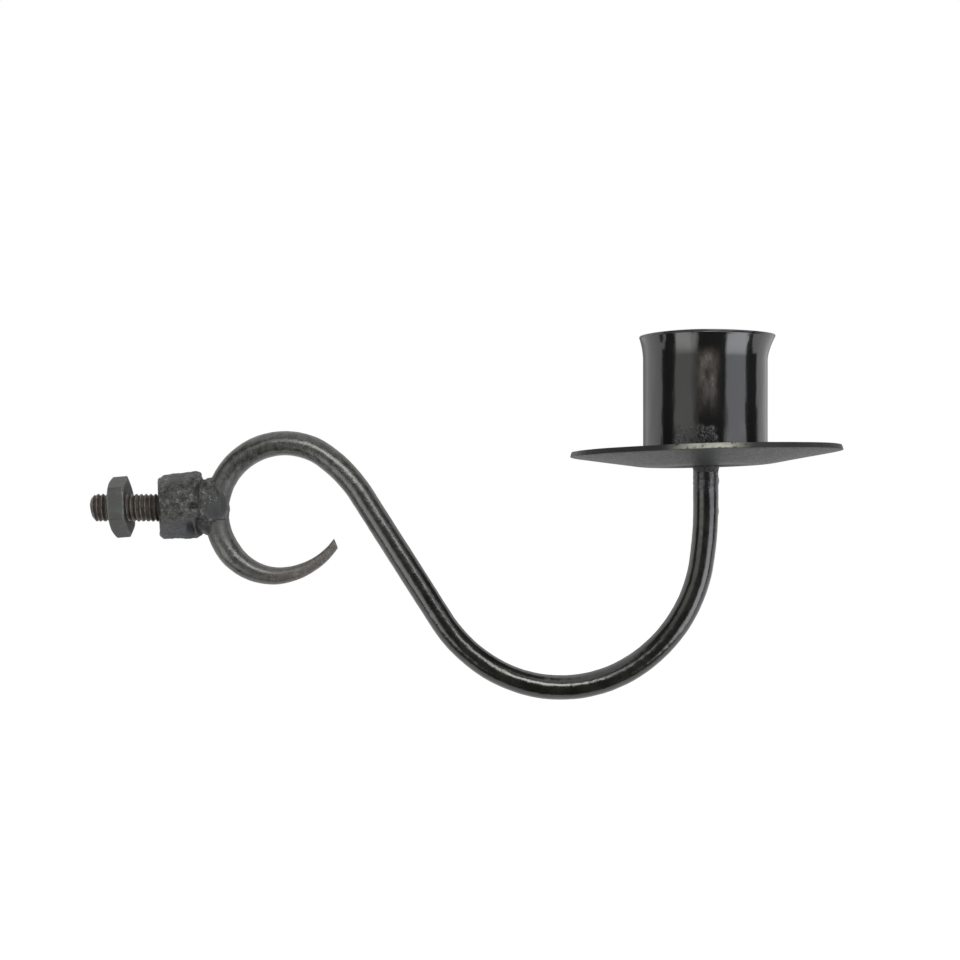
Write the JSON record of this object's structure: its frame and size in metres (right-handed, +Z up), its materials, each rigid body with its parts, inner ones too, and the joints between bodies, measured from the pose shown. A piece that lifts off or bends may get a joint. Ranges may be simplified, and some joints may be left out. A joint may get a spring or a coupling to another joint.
{
  "type": "torch sconce",
  "caption": "Wrought iron wall sconce: a round bar bent into a scroll and a U carries a drip pan and a flared candle cup; a threaded stud with a loose hexagon nut clamps it to a wall plate.",
  "frame": {"origin": "on the stud's axis, at the wall-side face of the boss, where the wall plate bears", "axes": "+X away from the wall, -X along the stud's free end, +Z up, +Y to the back as seen in the picture"},
  "size_m": [0.2209, 0.08, 0.1077],
  "materials": {
    "bar_black": "semi-gloss black paint on hammered round bar",
    "weld_grey": "satin dark grey paint on rough weld metal",
    "thread_brown": "rusty bare steel thread",
    "nut_grey": "satin mid grey paint",
    "pan_grey": "satin dark grey paint on sheet",
    "cup_black": "gloss black paint"
  },
  "bodies": {
    "sconce": {"scroll_arm": "bar_black", "mounting_boss": "weld_grey", "threaded_stud": "thread_brown", "upper_weld": "weld_grey", "lower_weld": "weld_grey", "drip_pan": "pan_grey", "candle_cup": "cup_black", "pan_weld": "weld_grey", "cup_weld": "weld_grey"},
    "nut": {"clamp_nut": "nut_grey"}
  },
  "joints": [
    {"name": "nut_travel", "type": "slide", "parent": "sconce", "child": "nut", "axis": [1, 0, 0], "range_m": [-0.0127, 0.00706]}
  ]
}
